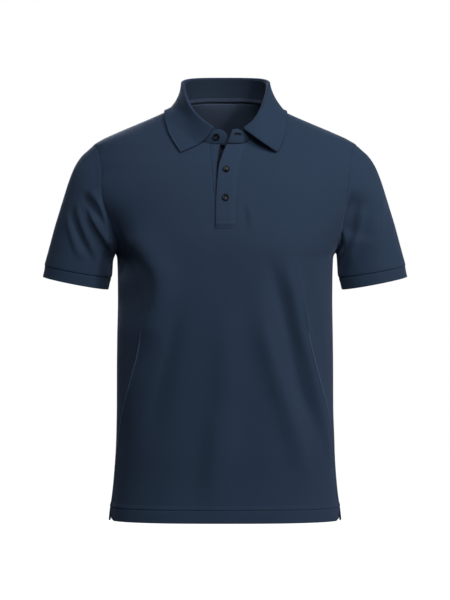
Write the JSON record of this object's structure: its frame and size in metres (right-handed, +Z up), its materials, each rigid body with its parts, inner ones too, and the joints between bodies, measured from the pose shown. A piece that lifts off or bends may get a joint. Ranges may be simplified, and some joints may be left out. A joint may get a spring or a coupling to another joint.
{
  "type": "short-sleeved polo shirt",
  "caption": "Short-sleeved polo shirt in worn form, hollow, with a folded collar on a stand, a part-open button placket, banded sleeves and side vents.",
  "frame": {"origin": "middle of the neck base between the shoulders, level with the neck ends of the shoulder seams", "axes": "+X the wearer's left, which is the viewer's right, +Y to the back, +Z up"},
  "size_m": [0.6256, 0.2465, 0.7626],
  "materials": {
    "knit": "matt fine knit, dark blue-grey",
    "rib": "matt rib knit, dark blue-grey",
    "tape": "matt woven tape, dark blue-grey",
    "button": "glossy resin, near black"
  },
  "bodies": {
    "root": {"front_panel": "knit", "back_panel": "knit", "sleeve_left": "knit", "sleeve_right": "knit", "cuff_left": "rib", "cuff_right": "rib", "collar_stand": "knit", "collar_fall": "knit", "placket_over": "knit", "placket_under": "knit", "neck_tape": "tape", "button_stand": "button", "button_upper": "button", "button_lower": "button"}
  },
  "joints": []
}
